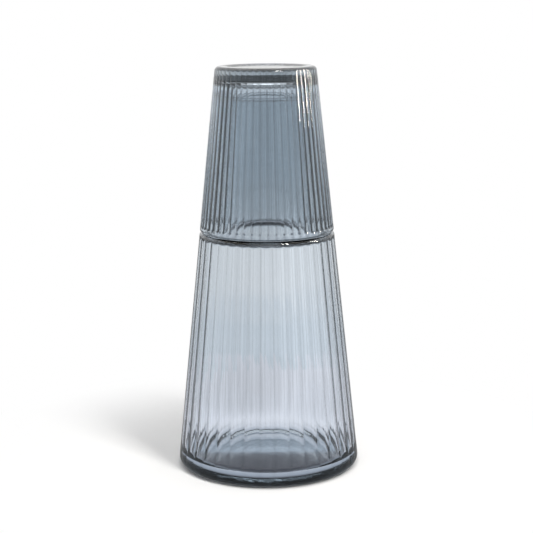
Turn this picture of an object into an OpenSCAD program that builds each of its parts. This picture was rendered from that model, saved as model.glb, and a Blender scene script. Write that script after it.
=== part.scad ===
/* [Overall] */
// Height of the set with the tumbler on
total_h = 220; // [200:1:250]
// Diameter of the one cone that carafe and tumbler share, at the table
base_d = 101; // [90:0.5:115]
// Diameter of the same cone at the top of the tumbler
top_d = 54.5; // [48:0.5:62]

/* [Carafe] */
// Height of the shoulder that the tumbler stands on
shoulder_h = 130.5; // [115:0.5:140]
// Thickness of the body's wall at the crest of a rib
wall_t = 1.8; // [1.5:0.1:2.6]
// Height of the inside floor above the table, at its lowest ring
floor_h = 3; // [2.5:0.1:4]
// Rise of the domed hollow under the base
kick_h = 3.5; // [2:0.1:5]
// Thickness of the glass in the middle of the base
floor_t = 3; // [2.5:0.1:4]
// Width of the flat ring that the carafe stands on
foot_w = 6; // [4:0.5:9]
// Radius of the heel
heel_r = 4; // [3:0.5:6]
// Radius of the inside corner between floor and wall
floor_r = 8.8; // [7:0.1:10]
// Radius of the shoulder's outer corner
shoulder_r = 2.3; // [1.5:0.1:3]
// Thickness of the glass under the shoulder
shoulder_t = 2.1; // [1.8:0.1:3]
// Radius of the inside corner under the shoulder
roof_r = 2; // [1:0.1:2.5]

/* [Neck] */
// Clearance between the mouth and the inside of the tumbler's base
mouth_gap = 8.5; // [3:0.5:20]
// Clearance between the neck and the ridges inside the tumbler
neck_gap = 2.7; // [2.4:0.1:4]
// Thickness of the neck's wall
neck_t = 2; // [1.6:0.1:2.2]
// Radius of the round lip
lip_r = 1.2; // [1.2:0.1:1.8]
// Radius of the hollow corner between shoulder and neck
neck_r = 2; // [1:0.1:2.4]
// Radius of the bend inside, from the neck to the underside of the shoulder
bend_r = 3; // [2.5:0.1:3.5]

/* [Tumbler] */
// Thickness of the tumbler's wall at the crest of a rib
tumbler_t = 2.5; // [2:0.1:3.2]
// Thickness of the tumbler's base, which is on top when it is stored
tumbler_base_t = 7; // [6:0.5:11]
// Radius of the outer corner of the tumbler's base
tumbler_corner_r = 2.5; // [2:0.1:4]
// Radius of the tumbler's inside corner
tumbler_floor_r = 5; // [3:0.5:7]
// Width of the flat ring that the tumbler stands on when it is in use
tumbler_foot_w = 3; // [2:0.5:5]
// Depth of the shallow dish in the tumbler's base
dish_h = 0.6; // [0.3:0.1:1]
// Height of the smooth band at the drinking rim
rim_band_h = 2.2; // [1.5:0.1:5]
// Clearance between the tumbler's rim and the shoulder
seat_gap = 0.3; // [0.2:0.05:0.5]

/* [Ribs] */
// Number of ribs round the carafe
carafe_ribs = 36; // [24:1:40]
// Number of ribs round the tumbler
tumbler_ribs = 50; // [36:1:52]
// Depth of the grooves outside, between the carafe's ribs
carafe_groove = 0.15; // [0.1:0.05:0.3]
// Height of the ridges inside the carafe, behind the grooves
carafe_ridge = 0.45; // [0.3:0.05:0.7]
// Depth of the grooves outside, between the tumbler's ribs
tumbler_groove = 0.3; // [0.2:0.05:0.4]
// Height of the ridges inside the tumbler, behind the grooves
tumbler_ridge = 0.5; // [0.3:0.05:0.6]
// Radius of the rounded face of a carafe rib
carafe_rib_r = 30; // [20:1:50]
// Radius of the hollow between two ridges inside the carafe
carafe_hollow_r = 9; // [7:0.5:16]
// Radius of the flank of a tumbler rib
tumbler_flank_r = 6; // [4:0.5:10]

/* [Hidden] */
$fn = 96;

// Steps of an arc in a profile
arc_steps = 6;
// Share of a rib's pitch, at its narrow end, that a groove takes up
groove_share = 0.93;

slope = (base_d - top_d) / 2 / total_h;
lean = atan(slope);
ceiling_h = total_h - tumbler_base_t;
mouth_h = ceiling_h - mouth_gap;
neck_inset = tumbler_t + tumbler_ridge + neck_gap;
rim_h = shoulder_h + seat_gap;
rib_foot_h = rim_h + rim_band_h;

// Radius of the shared cone at a height, set in from its surface
function cone_r(z, inset = 0) = base_d / 2 - slope * z - inset / cos(lean);
// Radius of the neck, which runs along the inside of the tumbler, at a height, set in from its surface
function neck_cone_r(z, inset = 0) = cone_r(z, neck_inset + inset);
// Points of an arc, from one angle to another
function arc(centre, r, from, to) =
    [for (i = [0 : arc_steps]) let (a = from + (to - from) * i / arc_steps) centre + r * [cos(a), sin(a)]];
// Height of the centre of a ball that has its top at a height and touches a circle from below
function ball_z(top, centre, r) = (pow(top + r, 2) - pow(norm(centre), 2)) / 2 / (top + r - centre[1]);

// Half profile of the carafe's glass: up the outside, over the lip and down the inside
module carafe_profile() {
    foot_r = cone_r(heel_r, heel_r);
    roof_h = shoulder_h - shoulder_t;
    hollow_z = ball_z(kick_h, [foot_r - foot_w, 0], 0);
    floor_c = [cone_r(floor_h + floor_r, wall_t + floor_r), floor_h + floor_r];
    floor_top = kick_h + floor_t;
    dome_z = ball_z(floor_top, floor_c, floor_r);
    tip = atan(floor_c[0] / (floor_c[1] - dome_z));
    polygon(concat(
        arc([0, hollow_z], kick_h - hollow_z, 90, 90 - atan((foot_r - foot_w) / -hollow_z)),
        arc([foot_r, heel_r], heel_r, -90, lean),
        arc([cone_r(shoulder_h - shoulder_r, shoulder_r), shoulder_h - shoulder_r], shoulder_r, lean, 90),
        arc([neck_cone_r(shoulder_h + neck_r, -neck_r), shoulder_h + neck_r], neck_r, 270, 180 + lean),
        arc([neck_cone_r(mouth_h, neck_t / 2), mouth_h - lip_r], lip_r, -30, 210),
        arc([neck_cone_r(roof_h + bend_r, neck_t - bend_r), roof_h + bend_r], bend_r, 180 + lean, 270),
        arc([cone_r(roof_h - roof_r, wall_t + roof_r), roof_h - roof_r], roof_r, 90, lean),
        arc(floor_c, floor_r, lean, -90 - tip),
        arc([0, dome_z], floor_top - dome_z, 90 - tip, 90)
    ));
}

// Half profile of the tumbler's glass, as it stands upside down on the carafe
module tumbler_profile() {
    rim_r = tumbler_t / 2;
    rim_c = [cone_r(rim_h + rim_r, rim_r), rim_h + rim_r];
    corner_z = total_h - tumbler_corner_r;
    corner_x = cone_r(corner_z, tumbler_corner_r);
    dish_r = corner_x - tumbler_foot_w;
    floor_z = ceiling_h - tumbler_floor_r;
    polygon(concat(
        arc(rim_c, rim_r, -180 + lean, lean),
        arc([corner_x, corner_z], tumbler_corner_r, lean, 90),
        [[dish_r, total_h], [dish_r - 2 * dish_h, total_h - dish_h], [0, total_h - dish_h], [0, ceiling_h]],
        arc([cone_r(floor_z, tumbler_t + tumbler_floor_r), floor_z], tumbler_floor_r, 90, lean)
    ));
}

// Section across the groove between two ribs: round flanks that meet in a sharp line
module groove_section(half_w, depth, flank_r) {
    chord = norm([half_w, depth]);
    tilt = atan(depth / half_w);
    reach = sqrt(flank_r * flank_r - chord * chord / 4);
    difference() {
        translate([-half_w, -2 * depth]) square([2 * half_w, 3 * depth]);
        for (side = [-1, 1])
            translate([side * (half_w / 2 + reach * sin(tilt)), -depth / 2 - reach * cos(tilt)])
                circle(flank_r);
    }
}

// A ring of bars of that section, leaning with the cone between two heights
module groove_ring(count, depth, flank_r, inset, from, to, narrow_r) {
    half_w = groove_share * narrow_r * sin(180 / count);
    for (i = [0 : count - 1])
        rotate((i + 0.5) * 360 / count)
            translate([cone_r(from, inset), 0, from]) rotate([0, -lean, 0]) rotate(-90)
                linear_extrude(height = (to - from) / cos(lean)) groove_section(half_w, depth, flank_r);
}

module carafe() {
    color([0.62, 0.67, 0.73, 0.6]) union() {
        difference() {
            rotate_extrude() carafe_profile();
            groove_ring(carafe_ribs, carafe_groove, carafe_rib_r, 0, -heel_r, shoulder_h + heel_r,
                cone_r(shoulder_h));
        }
        groove_ring(carafe_ribs, carafe_ridge, carafe_hollow_r, wall_t, floor_h / 2,
            shoulder_h - shoulder_t / 2, cone_r(shoulder_h, wall_t));
    }
}

module tumbler() {
    color([0.45, 0.52, 0.59, 0.6]) union() {
        difference() {
            rotate_extrude() tumbler_profile();
            groove_ring(tumbler_ribs, tumbler_groove, tumbler_flank_r, 0, rib_foot_h,
                total_h + tumbler_corner_r, cone_r(total_h));
        }
        groove_ring(tumbler_ribs, tumbler_ridge, tumbler_flank_r, tumbler_t, rib_foot_h,
            total_h - tumbler_base_t / 2, cone_r(total_h, tumbler_t));
    }
}

carafe();
tumbler();
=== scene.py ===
import math

import bpy
import numpy as np
from mathutils import Matrix, Vector


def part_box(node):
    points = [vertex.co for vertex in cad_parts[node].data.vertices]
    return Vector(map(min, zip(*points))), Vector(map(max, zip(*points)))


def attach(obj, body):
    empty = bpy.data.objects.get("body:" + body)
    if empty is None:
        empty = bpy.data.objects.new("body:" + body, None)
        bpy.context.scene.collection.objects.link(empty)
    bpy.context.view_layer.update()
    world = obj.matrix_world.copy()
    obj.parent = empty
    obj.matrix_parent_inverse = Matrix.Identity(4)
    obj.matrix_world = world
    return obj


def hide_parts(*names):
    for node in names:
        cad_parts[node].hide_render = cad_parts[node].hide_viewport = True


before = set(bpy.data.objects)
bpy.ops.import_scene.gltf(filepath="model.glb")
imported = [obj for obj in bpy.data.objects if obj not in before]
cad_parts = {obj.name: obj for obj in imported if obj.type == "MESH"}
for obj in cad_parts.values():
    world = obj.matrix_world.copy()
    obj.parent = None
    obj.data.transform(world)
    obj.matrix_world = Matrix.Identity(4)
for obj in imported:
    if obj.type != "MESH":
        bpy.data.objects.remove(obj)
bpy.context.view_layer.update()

MM = 0.001

# Heights from the CAD boxes
_, carafe_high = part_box("carafe")
tumbler_low, tumbler_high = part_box("tumbler")
TOTAL_H = tumbler_high[2]
RIM_H = tumbler_low[2]
MOUTH_H = carafe_high[2]
SEAT_GAP = 0.3 * MM
SHOULDER_H = RIM_H - SEAT_GAP

# The one cone that carafe and tumbler share
BASE_R = 50.5 * MM
TOP_R = 27.25 * MM
SLOPE = (BASE_R - TOP_R) / TOTAL_H
LEAN = math.atan(SLOPE)

# Carafe
WALL_T = 1.8 * MM
FLOOR_H = 3.0 * MM
FLOOR_RISE = 3.5 * MM
FLOOR_R = 8.8 * MM
KICK_H = 3.5 * MM
FOOT_W = 6.0 * MM
HEEL_R = 4.0 * MM
SHOULDER_R = 2.3 * MM
SHOULDER_T = 2.1 * MM
ROOF_R = 2.0 * MM
NECK_T = 2.0 * MM
NECK_FILLET = 2.0 * MM
BEND_R = 3.0 * MM
LIP_R = 1.2 * MM

# Tumbler, upside down
TUMBLER_T = 2.5 * MM
TUMBLER_BASE_T = 7.0 * MM
TUMBLER_CORNER_R = 2.5 * MM
TUMBLER_FLOOR_R = 5.0 * MM
TUMBLER_FOOT_W = 3.0 * MM
DISH_H = 0.6 * MM
RIM_BAND_H = 2.2 * MM
RIB_END_H = 1.5 * MM

# Ribs: depths at the wide end of each piece, and the turn that the photograph shows
CARAFE_RIBS = 36
TUMBLER_RIBS = 50
CARAFE_GROOVE = 0.15 * MM
CARAFE_RIDGE = 0.45 * MM
TUMBLER_GROOVE = 0.3 * MM
TUMBLER_RIDGE = 0.5 * MM
CARAFE_TURN = math.radians(-91)
TUMBLER_TURN = math.radians(-92.5)
CARAFE_RIB_STEPS = 20
TUMBLER_RIB_STEPS = 18
# How far a ridge starts above the floor, and how far ribs keep from a level face
RIDGE_START = 0.5 * MM
CLEAR = 1e-6
# Rounding of the line in a groove, as a share of its depth, and of the edges where ribs run out
SOFT_CUSP = 0.07
SOFT_EDGE = 0.025 * MM

# The neck runs along the inside of the tumbler
NECK_GAP = 2.7 * MM
NECK_INSET = TUMBLER_T + TUMBLER_RIDGE + NECK_GAP

# Distance of the outer points of a straight line from its ends
LINE_END = 0.25 * MM
RIGHT = math.pi / 2


def cone_r(z, inset=0.0):
    """Radius of the shared cone at a height, set in from its surface."""
    return BASE_R - SLOPE * z - inset / math.cos(LEAN)


def neck_cone_r(z, inset=0.0):
    """Radius of the neck at a height, set in from its surface."""
    return cone_r(z, NECK_INSET + inset)


def arc(x, z, r, start, end, steps):
    """Points of an arc in a profile, from one angle to another."""
    turn = np.linspace(start, end, steps + 1)
    return [(x + r * math.cos(a), z + r * math.sin(a)) for a in turn]


def line(p, q, steps):
    """Points between two points, the outer ones close to the ends, which keeps the shading flat."""
    near = min(0.25, LINE_END / math.dist(p, q))
    shares = np.linspace(near, 1 - near, steps)
    return [(p[0] + (q[0] - p[0]) * t, p[1] + (q[1] - p[1]) * t) for t in shares]


def carafe_outside():
    """From the hollow under the base up to the top of the lip."""
    foot_r = cone_r(HEEL_R, HEEL_R)
    hollow_r = foot_r - FOOT_W
    top_z = SHOULDER_H - SHOULDER_R
    neck_z = SHOULDER_H + NECK_FILLET
    dome_r = (hollow_r ** 2 + KICK_H ** 2) / (2 * KICK_H)
    edge = math.asin(hollow_r / dome_r)
    under = arc(0.0, KICK_H - dome_r, dome_r, RIGHT, RIGHT - edge, 8)[1:]
    heel = arc(foot_r, HEEL_R, HEEL_R, -RIGHT, LEAN, 16)
    shoulder = arc(cone_r(top_z, SHOULDER_R), top_z, SHOULDER_R, LEAN, RIGHT, 12)
    corner = arc(neck_cone_r(neck_z, -NECK_FILLET), neck_z, NECK_FILLET, 3 * RIGHT, math.pi + LEAN, 8)
    lip = arc(neck_cone_r(MOUTH_H, NECK_T / 2), MOUTH_H - LIP_R, LIP_R, math.radians(-30), RIGHT, 9)
    wall = line(heel[-1], shoulder[0], 5)
    neck = line(corner[-1], lip[0], 4)
    return under + heel + wall + shoulder + line(shoulder[-1], corner[0], 3) + corner + neck + lip


def carafe_inside():
    """From the lip down to the edge of the floor."""
    roof_z = SHOULDER_H - SHOULDER_T
    corner_z = roof_z - ROOF_R
    floor_z = FLOOR_H + FLOOR_R
    lip = arc(neck_cone_r(MOUTH_H, NECK_T / 2), MOUTH_H - LIP_R, LIP_R, RIGHT, math.radians(210), 9)[1:]
    bend_z = roof_z + BEND_R
    bend = arc(neck_cone_r(bend_z, NECK_T - BEND_R), bend_z, BEND_R, math.pi + LEAN, 3 * RIGHT, 8)
    corner = arc(cone_r(corner_z, WALL_T + ROOF_R), corner_z, ROOF_R, RIGHT, LEAN, 8)
    floor_x = cone_r(floor_z, WALL_T + FLOOR_R)
    reach = FLOOR_H + FLOOR_RISE + FLOOR_R
    dome_z = (reach ** 2 - floor_x ** 2 - floor_z ** 2) / (2 * FLOOR_RISE)
    edge = math.atan(floor_x / (floor_z - dome_z))
    floor = arc(floor_x, floor_z, FLOOR_R, LEAN, -RIGHT - edge, 20)
    middle = arc(0.0, dome_z, FLOOR_H + FLOOR_RISE - dome_z, RIGHT - edge, RIGHT, 8)[1:-1]
    neck = line(lip[-1], bend[0], 4)
    wall = line(corner[-1], floor[0], 5)
    return lip + neck + bend + line(bend[-1], corner[0], 3) + corner + wall + floor + middle


def tumbler_inside():
    """From the middle of the base down to the rim."""
    floor_z = TOTAL_H - TUMBLER_BASE_T - TUMBLER_FLOOR_R
    rim_r = TUMBLER_T / 2
    floor = arc(cone_r(floor_z, TUMBLER_T + TUMBLER_FLOOR_R), floor_z, TUMBLER_FLOOR_R, RIGHT, LEAN, 12)
    rim = arc(cone_r(RIM_H + rim_r, rim_r), RIM_H + rim_r, rim_r, -math.pi + LEAN, -RIGHT, 10)[:-1]
    middle = line((0.0, TOTAL_H - TUMBLER_BASE_T), floor[0], 4)
    band_top = RIM_H + RIM_BAND_H
    end_top = band_top + RIB_END_H
    band_point = (cone_r(band_top, TUMBLER_T), band_top)
    end_point = (cone_r(end_top, TUMBLER_T), end_top)
    ends = [end_point] + line(end_point, band_point, 5) + [band_point]
    return middle + floor + line(floor[-1], end_point, 5) + ends + line(band_point, rim[0], 3) + rim


def tumbler_outside():
    """From the rim up to the dish in the base."""
    rim_r = TUMBLER_T / 2
    band_top = RIM_H + RIM_BAND_H
    corner_z = TOTAL_H - TUMBLER_CORNER_R
    rim = arc(cone_r(RIM_H + rim_r, rim_r), RIM_H + rim_r, rim_r, -RIGHT, LEAN, 10)
    end_top = band_top + RIB_END_H
    band_point = (cone_r(band_top), band_top)
    end_point = (cone_r(end_top), end_top)
    ends = [band_point] + line(band_point, end_point, 5) + [end_point]
    corner = arc(cone_r(corner_z, TUMBLER_CORNER_R), corner_z, TUMBLER_CORNER_R, LEAN, RIGHT, 14)
    dish_r = corner[-1][0] - TUMBLER_FOOT_W
    dish = [(dish_r, TOTAL_H), (dish_r - 2 * DISH_H, TOTAL_H - DISH_H)]
    dish += line(dish[-1], (0.0, TOTAL_H - DISH_H), 4)
    return rim + line(rim[-1], band_point, 3) + ends + line(end_point, corner[0], 5) + corner + dish


def rib_wave(count, steps):
    """Angles round one turn, close together in the grooves, and how deep the groove is there, from 0 to 1."""
    across = np.sin(np.linspace(-RIGHT, RIGHT, steps, endpoint=False))
    hollow = np.sqrt((1 - across ** 2) ** 2 + SOFT_CUSP ** 2) - SOFT_CUSP
    depth = 1 - hollow / (math.sqrt(1 + SOFT_CUSP ** 2) - SOFT_CUSP)
    turn = 2 * math.pi / count
    angles = (np.arange(count)[:, None] * turn + across[None, :] * turn / 2).ravel()
    return angles, np.tile(depth, count)


def soft_min(a, b):
    return 0.5 * (a + b - np.sqrt((a - b) ** 2 + SOFT_EDGE ** 2))


def smooth_step(x):
    x = min(max(x, 0.0), 1.0)
    return x * x * (3 - 2 * x)


def ribbed_rings(profile, wave, depth_at, inset):
    """A ring of radii for each profile point, cut back to the ribbed cone where that is smaller."""
    rings = []
    for r, z in profile:
        depth = depth_at(z)
        radii = soft_min(r, cone_r(z, inset) - depth * wave) if depth > 0 else np.full_like(wave, r)
        rings.append((radii, z))
    return rings


def skin(name, angles, rings, first_z, last_z):
    """A closed mesh through the rings, with a point on the axis before the first and after the last."""
    n = len(angles)
    points = [np.stack([radii * np.cos(angles), radii * np.sin(angles), np.full(n, z)], 1)
              for radii, z in rings]
    points = np.concatenate(points + [np.array([[0, 0, first_z], [0, 0, last_z]])])
    i = np.arange(n)
    j = (i + 1) % n
    quads = [np.stack([k * n + i, k * n + j, (k + 1) * n + j, (k + 1) * n + i], 1)
             for k in range(len(rings) - 1)]
    top = (len(rings) - 1) * n
    first, last = len(rings) * n, len(rings) * n + 1
    faces = np.concatenate(quads).tolist()
    faces += [(first, int(b), int(a)) for a, b in zip(i, j)]
    faces += [(last, int(top + a), int(top + b)) for a, b in zip(i, j)]
    mesh = bpy.data.meshes.new(name)
    mesh.from_pydata(points.tolist(), [], faces)
    mesh.polygons.foreach_set("use_smooth", np.ones(len(faces), dtype=bool))
    mesh.update()
    ob = bpy.data.objects.new(name, mesh)
    bpy.context.scene.collection.objects.link(ob)
    return ob


def make_carafe():
    angles, wave = rib_wave(CARAFE_RIBS, CARAFE_RIB_STEPS)

    def groove(z):
        return CARAFE_GROOVE * cone_r(z) / BASE_R if z < SHOULDER_H - CLEAR else 0.0

    def ridge(z):
        between = FLOOR_H + RIDGE_START < z < SHOULDER_H - SHOULDER_T - CLEAR
        return CARAFE_RIDGE * cone_r(z) / BASE_R if between else 0.0

    rings = ribbed_rings(carafe_outside(), wave, groove, 0.0)
    rings += ribbed_rings(carafe_inside(), wave, ridge, WALL_T)
    return skin("carafe_body", angles + CARAFE_TURN, rings, KICK_H, FLOOR_H + FLOOR_RISE)


def make_tumbler():
    angles, wave = rib_wave(TUMBLER_RIBS, TUMBLER_RIB_STEPS)

    def fade(z):
        return cone_r(z) / cone_r(RIM_H) * smooth_step((z - RIM_H - RIM_BAND_H) / RIB_END_H)

    rings = ribbed_rings(tumbler_inside(), wave, lambda z: TUMBLER_RIDGE * fade(z), TUMBLER_T)
    rings += ribbed_rings(tumbler_outside(), wave, lambda z: TUMBLER_GROOVE * fade(z), 0.0)
    return skin("tumbler_body", angles + TUMBLER_TURN, rings, TOTAL_H - TUMBLER_BASE_T, TOTAL_H - DISH_H)


class Graph:
    """A node tree with short ways to add and join its nodes."""

    def __init__(self, owner):
        owner.use_nodes = True
        self.nodes, self.links = owner.node_tree.nodes, owner.node_tree.links

    def put(self, socket, value):
        if isinstance(value, bpy.types.NodeSocket):
            self.links.new(value, socket)
        else:
            socket.default_value = value

    def math(self, kind, a, b):
        node = self.nodes.new("ShaderNodeMath")
        node.operation = kind
        self.put(node.inputs[0], a)
        self.put(node.inputs[1], b)
        return node.outputs[0]

    def span(self, value, low, high, to_low=0.0, to_high=1.0):
        """A smooth step of a value, from one result to another."""
        node = self.nodes.new("ShaderNodeMapRange")
        node.interpolation_type = "SMOOTHSTEP"
        names = ("Value", "From Min", "From Max", "To Min", "To Max")
        for name, v in zip(names, (value, low, high, to_low, to_high)):
            self.put(node.inputs[name], v)
        return node.outputs["Result"]

    def blend(self, factor, a, b):
        node = self.nodes.new("ShaderNodeMix")
        node.data_type = "RGBA"
        self.put(node.inputs["Factor"], factor)
        for socket, colour in ((node.inputs[6], a), (node.inputs[7], b)):
            self.put(socket, (*colour, 1) if isinstance(colour, tuple) else colour)
        return node.outputs[2]

    def mix(self, factor, a, b):
        node = self.nodes.new("ShaderNodeMixShader")
        for socket, value in zip(node.inputs, (factor, a, b)):
            self.put(socket, value)
        return node.outputs["Shader"]

    def noise(self, place, scale, detail):
        """Soft noise from 0 to 1, with a scale along each axis."""
        stretch = self.nodes.new("ShaderNodeVectorMath")
        stretch.operation = "MULTIPLY"
        self.links.new(place, stretch.inputs[0])
        stretch.inputs[1].default_value = scale
        node = self.nodes.new("ShaderNodeTexNoise")
        node.inputs["Scale"].default_value = 1.0
        node.inputs["Detail"].default_value = detail
        self.links.new(stretch.outputs[0], node.inputs["Vector"])
        return node.outputs["Fac"]

    def grooves(self, x, y, count, turn):
        """1 in the grooves between the ribs round the axis, and 0 on the ribs."""
        angle = self.math("SUBTRACT", self.math("ARCTAN2", y, x), turn)
        wave = self.math("COSINE", self.math("MULTIPLY", angle, count), 0.0)
        between = self.math("MULTIPLY", self.math("SUBTRACT", 1.0, wave), 0.5)
        return self.math("POWER", between, GROOVE_POWER)

    def split(self, vector):
        node = self.nodes.new("ShaderNodeSeparateXYZ")
        self.links.new(vector, node.inputs[0])
        return node.outputs

    def ramp(self, value, stops, kind="LINEAR"):
        """A grey for a value from 0 to 1, along stops of place and brightness."""
        node = self.nodes.new("ShaderNodeValToRGB")
        node.color_ramp.interpolation = kind
        points = node.color_ramp.elements
        while len(points) < len(stops):
            points.new(1.0)
        for point, (place, grey) in zip(points, stops):
            point.position = place
            point.color = (grey, grey, grey, 1)
        self.put(node.inputs[0], value)
        return node.outputs["Color"]

    def trapped(self, path):
        """The share of light that is left for a ray's count of reflections."""
        stops = [(max(0.0, (count - 0.5) / REFLECTIONS), share) for count, share in TRAPPED]
        return self.ramp(self.math("DIVIDE", path.outputs["Glossy Depth"], REFLECTIONS), stops, "CONSTANT")

    def sway(self, x, y):
        """How the surroundings change from light to dark round the object, as a factor."""
        turn = self.math("ARCTAN2", y, x)
        total = 1.0
        for count, size in SWAYS:
            wave = self.math("COSINE", self.math("MULTIPLY", turn, count), 0.0)
            total = self.math("ADD", self.math("MULTIPLY", wave, size), total)
        return total


# The glass: its tint in its depth, and at its surface by height
GLASS_IOR = 1.5
GLASS_TINT = (0.5, 0.56, 0.6)
GLASS_DENSITY = 22.0
CARAFE_TINT = (0.905, 0.92, 0.937)
NECK_TINT = (0.8, 0.835, 0.86)
TUMBLER_TINT = (0.84, 0.865, 0.89)
SLAB_TINT = (0.68, 0.675, 0.67)
NECK_BLEND = (SHOULDER_H, SHOULDER_H + 8 * MM)
SLAB_BLEND = (TOTAL_H - 12 * MM, TOTAL_H)
# Painted shade in the grooves: the share of the tint left there, and how narrow the shaded lines are
CARAFE_GROOVE_SHADE_SHARE = 0.94
TUMBLER_GROOVE_SHADE_SHARE = 0.8
GROOVE_POWER = 3.0
# Scale of the ripples and clouds in the glass, per metre, round the wall and along it
RIPPLE_SCALE = (240.0, 240.0, 14.0)
RIPPLE_H = 0.05 * MM
CLOUD_SCALE = (30.0, 30.0, 10.0)
CLOUD_SPAN = (0.35, 0.65)
CLOUD_SHARE = 0.96
POLISH_SPAN = (0.5, 0.8)
POLISH = (0.0, 0.012)


def glass(name, lower, upper, turn_z, ribs, rib_turn, groove_shade_share):
    """Smoked glass: a tint that changes with height, painted shade in the grooves, faint clouds and ripples,
    and more tint in its depth.
    """
    mat = bpy.data.materials.new(name)
    g = Graph(mat)
    shader = g.nodes["Principled BSDF"]
    place = g.nodes.new("ShaderNodeTexCoord").outputs["Object"]
    x, y, z = g.split(place)
    tint = g.blend(g.span(z, *turn_z), lower, upper)
    # Painted shade: the tint darker along the grooves between the ribs
    groove = g.span(g.grooves(x, y, ribs, rib_turn), 0.0, 1.0, 1.0, groove_shade_share)
    cloud = g.noise(place, CLOUD_SCALE, 2.0)
    clouded = g.nodes.new("ShaderNodeVectorMath")
    clouded.operation = "SCALE"
    g.put(clouded.inputs[0], tint)
    g.put(clouded.inputs["Scale"], g.math("MULTIPLY", groove, g.span(cloud, *CLOUD_SPAN, CLOUD_SHARE, 1.0)))
    g.put(shader.inputs["Base Color"], clouded.outputs[0])
    ripple = g.noise(place, RIPPLE_SCALE, 1.0)
    bump = g.nodes.new("ShaderNodeBump")
    bump.inputs["Distance"].default_value = RIPPLE_H
    g.put(bump.inputs["Height"], ripple)
    g.put(shader.inputs["Normal"], bump.outputs["Normal"])
    g.put(shader.inputs["Roughness"], g.span(ripple, *POLISH_SPAN, *POLISH))
    shader.inputs["Transmission Weight"].default_value = 1.0
    shader.inputs["IOR"].default_value = GLASS_IOR
    depth = g.nodes.new("ShaderNodeVolumeAbsorption")
    depth.inputs["Color"].default_value = (*GLASS_TINT, 1)
    depth.inputs["Density"].default_value = GLASS_DENSITY
    g.put(g.nodes["Material Output"].inputs["Volume"], depth.outputs["Volume"])
    return mat


carafe = make_carafe()
tumbler = make_tumbler()
for piece, body in ((carafe, "carafe"), (tumbler, "tumbler")):
    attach(piece, body)
    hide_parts(body)
carafe.data.materials.append(glass(
    "carafe_glass", CARAFE_TINT, NECK_TINT, NECK_BLEND, CARAFE_RIBS, CARAFE_TURN, CARAFE_GROOVE_SHADE_SHARE))
tumbler.data.materials.append(glass(
    "tumbler_glass", TUMBLER_TINT, SLAB_TINT, SLAB_BLEND, TUMBLER_RIBS, TUMBLER_TURN, TUMBLER_GROOVE_SHADE_SHARE))

# What the glass shows of its surroundings: a pale table with an edge, and a bluish backdrop to the horizon
WHITE = (1.0, 1.0, 1.0)
EDGE = (0.82, 0.91, 0.99)
BACKDROP = (1.0, 1.05, 1.09)
FAR = (0.89, 0.98, 1.06)
TABLE = (0.97, 1.0, 1.08)
TABLE_EDGE = 205 * MM
TABLE_EDGE_W = 1 * MM
BACKDROP_FROM, BACKDROP_TO = 260 * MM, 520 * MM
FAR_FROM, FAR_TO = 700 * MM, 1400 * MM
TABLE_TURN = math.radians(4)
TABLE_RAGGED = 260 * MM
RAGGED_SCALE = (14.0, 14.0, 0.0)
# Painted shade on the floor under the base, seen through the glass: its near and far half, and a painted
# shade ring round it
UNDER_SHADE_NEAR = (0.08, 0.085, 0.105)
UNDER_SHADE_FAR = (0.36, 0.45, 0.55)
UNDER_SHADE_TURN = (2 * MM, 11 * MM)
UNDER_SHADE_RING = (38 * MM, 46 * MM)
RING_SHADE = (0.42, 0.48, 0.57)
RING_SHADE_END = 57 * MM
# Height of the sky, as the sine of its angle, and how bright it is through the glass and mirrored in it
SKY = ((0.0, 1.0), (0.02, 1.0), (0.05, 0.16), (0.14, 0.16), (0.2, 0.5), (0.28, 0.4), (0.31, 1.1),
       (0.38, 1.1), (0.41, 0.4), (0.8, 0.12), (0.89, 0.85), (0.97, 1.0), (0.985, 2.2))
SHINE = ((0.0, 1.0), (0.3, 1.0), (0.48, 1.3), (0.7, 1.8), (0.85, 2.6))
# Count of reflections inside the glass, and the share of the light that is left after them
TRAPPED = ((0, 1.0), (1, 1.0), (2, 0.3), (3, 0.06), (5, 0.4), (6, 0.06), (11, 1.0))
BOUNCES = 32
REFLECTIONS = 16
# Light and dark round the object: times in a turn and size
SWAYS = ((2, 0.2), (9, 0.08), (31, 0.05))
# Strength of the world as light, and where the floor turns to plain white for the camera
AMBIENT = 0.74
WHITE_SPAN = (0.07, 0.19)
# What is mirrored: a warmer tone overhead, dimmer in front, and the floor
MIRRORED = (1.0, 0.97, 0.92)
MIRRORED_UP = (0.5, 0.85)
SHINE_TURN = (-0.3, 0.3)
SHINE_FRONT = 0.4
MIRRORED_FLOOR = 0.3
FLOOR_HALF = 4.0
FLOOR_Z = -0.2 * MM
FLOOR_ROUGHNESS = 0.9
FLOOR_COLOUR = (0.94, 0.94, 0.94)
# Painted contact shadow: the floor dark close under the heel, turning to its own colour a little beyond
CONTACT_SHADOW_SPAN = (46 * MM, 52 * MM)
CONTACT_SHADOW_COLOUR = (0.25, 0.25, 0.26)


def floor_plane():
    mesh = bpy.data.meshes.new("floor")
    h, z = FLOOR_HALF, FLOOR_Z
    mesh.from_pydata([(-h, -h, z), (h, -h, z), (h, h, z), (-h, h, z)], [], [(0, 1, 2, 3)])
    ob = bpy.data.objects.new("floor", mesh)
    bpy.context.scene.collection.objects.link(ob)
    return ob


def table_side(g, place, x, y):
    """Distance from the middle of a square table that is turned a little and has a ragged edge."""
    cos, sin = math.cos(TABLE_TURN), math.sin(TABLE_TURN)
    along = g.math("ADD", g.math("MULTIPLY", x, cos), g.math("MULTIPLY", y, sin))
    across = g.math("SUBTRACT", g.math("MULTIPLY", y, cos), g.math("MULTIPLY", x, sin))
    side = g.math("MAXIMUM", g.math("ABSOLUTE", along, 0.0), g.math("ABSOLUTE", across, 0.0))
    ragged = g.math("SUBTRACT", g.noise(place, RAGGED_SCALE, 1.0), 0.5)
    return g.math("ADD", side, g.math("MULTIPLY", ragged, TABLE_RAGGED))


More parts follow.
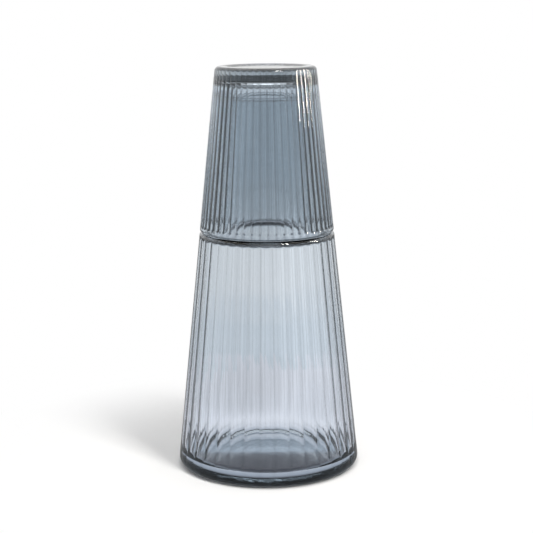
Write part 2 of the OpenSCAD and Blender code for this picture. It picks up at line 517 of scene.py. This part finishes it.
def table_colour(g, side, y, r):
    """What the glass shows below the horizon: painted shade on the floor under the base and round it, the
    table and what lies beyond.
    """
    # Painted shade under the base: dark under its near half, lighter under its far half, then a painted shade
    # ring round the foot
    under = g.blend(g.span(y, *UNDER_SHADE_TURN), UNDER_SHADE_NEAR, UNDER_SHADE_FAR)
    ring_shade = g.blend(g.span(r, UNDER_SHADE_RING[1], RING_SHADE_END), RING_SHADE, TABLE)
    top = g.blend(g.span(r, *UNDER_SHADE_RING), under, ring_shade)
    beyond = g.blend(g.span(side, BACKDROP_FROM, BACKDROP_TO), EDGE, BACKDROP)
    beyond = g.blend(g.span(side, FAR_FROM, FAR_TO), beyond, FAR)
    return g.blend(g.span(side, TABLE_EDGE, TABLE_EDGE + TABLE_EDGE_W), top, beyond)


def make_floor():
    """White to the camera, with the object's shadow and a painted contact shadow at the heel; the glass shows
    the table instead, with painted shade under the base.
    """
    ob = floor_plane()
    mat = bpy.data.materials.new("floor")
    g = Graph(mat)
    shader = g.nodes["Principled BSDF"]
    shader.inputs["Roughness"].default_value = FLOOR_ROUGHNESS
    shader.inputs["Specular IOR Level"].default_value = 0.0
    place = g.nodes.new("ShaderNodeNewGeometry").outputs["Position"]
    x, y, _ = g.split(place)
    r = g.math("SQRT", g.math("ADD", g.math("MULTIPLY", x, x), g.math("MULTIPLY", y, y)), 0.0)
    # Painted contact shadow round the heel
    g.put(shader.inputs["Base Color"], g.blend(g.span(r, *CONTACT_SHADOW_SPAN), CONTACT_SHADOW_COLOUR, FLOOR_COLOUR))
    path = g.nodes.new("ShaderNodeLightPath")
    white = g.nodes.new("ShaderNodeEmission")
    far = g.math("MULTIPLY", g.span(r, *WHITE_SPAN), path.outputs["Is Camera Ray"])
    plain = g.mix(far, shader.outputs["BSDF"], white.outputs["Emission"])
    glow = g.nodes.new("ShaderNodeEmission")
    g.put(glow.inputs["Color"], table_colour(g, table_side(g, place, x, y), y, r))
    sway = g.blend(g.span(r, RING_SHADE_END, 2 * RING_SHADE_END), WHITE, g.sway(x, y))
    g.put(glow.inputs["Strength"], g.math("MULTIPLY", g.trapped(path), sway))
    mirrored = g.nodes.new("ShaderNodeEmission")
    mirrored.inputs["Strength"].default_value = MIRRORED_FLOOR
    shown = g.mix(path.outputs["Is Glossy Ray"], plain, mirrored.outputs["Emission"])
    shown = g.mix(path.outputs["Is Transmission Ray"], shown, glow.outputs["Emission"])
    g.put(g.nodes["Material Output"].inputs["Surface"], shown)
    ob.data.materials.append(mat)


def make_world():
    """White to the camera and as light; the glass shows a sky of light and dark bands."""
    world = bpy.data.worlds.new("studio")
    bpy.context.scene.world = world
    g = Graph(world)
    back = g.nodes["Background"]
    x, y, up = g.split(g.nodes.new("ShaderNodeTexCoord").outputs["Generated"])
    path = g.nodes.new("ShaderNodeLightPath")
    through, mirrored = path.outputs["Is Transmission Ray"], path.outputs["Is Glossy Ray"]
    plain = g.math("MAXIMUM", path.outputs["Is Camera Ray"], AMBIENT)
    shown = g.math("MULTIPLY", g.math("MULTIPLY", g.ramp(up, SKY), g.trapped(path)), g.sway(x, y))
    shine = g.math("MULTIPLY", g.ramp(up, SHINE), g.span(y, *SHINE_TURN, SHINE_FRONT, 1.0))
    strength = g.blend(through, g.blend(mirrored, plain, shine), shown)
    g.put(back.inputs["Strength"], strength)
    overhead = g.math("MULTIPLY", mirrored, g.span(up, *MIRRORED_UP))
    g.put(back.inputs["Color"], g.blend(through, g.blend(overhead, WHITE, MIRRORED), FAR))


# Lamps: place, target, size, power and colour
KEY = ((0.5, -0.64, 0.95), (0, 0, 0.05), (0.25, 0.25), 9.0, (1.0, 0.98, 0.95))
WINDOW = ((1.0, 0.05, 0.535), (0, 0, 0.2), (0.12, 0.64), 13.0, (1.0, 0.92, 0.82))


def softbox(name, shape, place, target, size, power, colour):
    """An area lamp that shows in mirrored rays but not through the glass."""
    data = bpy.data.lights.new(name, "AREA")
    data.shape = shape
    data.size, data.size_y = size
    data.energy = power
    data.color = colour
    ob = bpy.data.objects.new(name, data)
    ob.location = place
    ob.rotation_euler = (Vector(target) - Vector(place)).to_track_quat("-Z", "Y").to_euler()
    ob.visible_transmission = False
    bpy.context.scene.collection.objects.link(ob)
    return ob


make_floor()
make_world()
softbox("key", "RECTANGLE", *KEY)
window = softbox("window", "ELLIPSE", *WINDOW)
window.visible_diffuse = False
cycles = bpy.context.scene.cycles
cycles.max_bounces = cycles.transmission_bounces = BOUNCES
cycles.glossy_bounces = REFLECTIONS

# The photograph's camera, from a fit to the outline: distance, height, pitch, roll and yaw
CAMERA_BACK = 752.5 * MM
CAMERA_UP = 260.4 * MM
CAMERA_PITCH = math.radians(11.264)
CAMERA_ROLL = math.radians(-0.445)
CAMERA_YAW = math.radians(0.0274)
FOCAL_PIXELS = 1395.0
IMAGE_PIXELS = 533
SENSOR = 36.0


def make_camera():
    data = bpy.data.cameras.new("camera")
    data.sensor_width = SENSOR
    data.lens = FOCAL_PIXELS / IMAGE_PIXELS * SENSOR
    ob = bpy.data.objects.new("camera", data)
    bpy.context.scene.collection.objects.link(ob)
    place = Matrix.Translation((0, -CAMERA_BACK, CAMERA_UP))
    turn = Matrix.Rotation(CAMERA_YAW, 4, "Z") @ Matrix.Rotation(RIGHT - CAMERA_PITCH, 4, "X")
    ob.matrix_world = place @ turn @ Matrix.Rotation(CAMERA_ROLL, 4, "Z")
    bpy.context.scene.camera = ob


make_camera()

bpy.context.scene.view_settings.view_transform = "Standard"
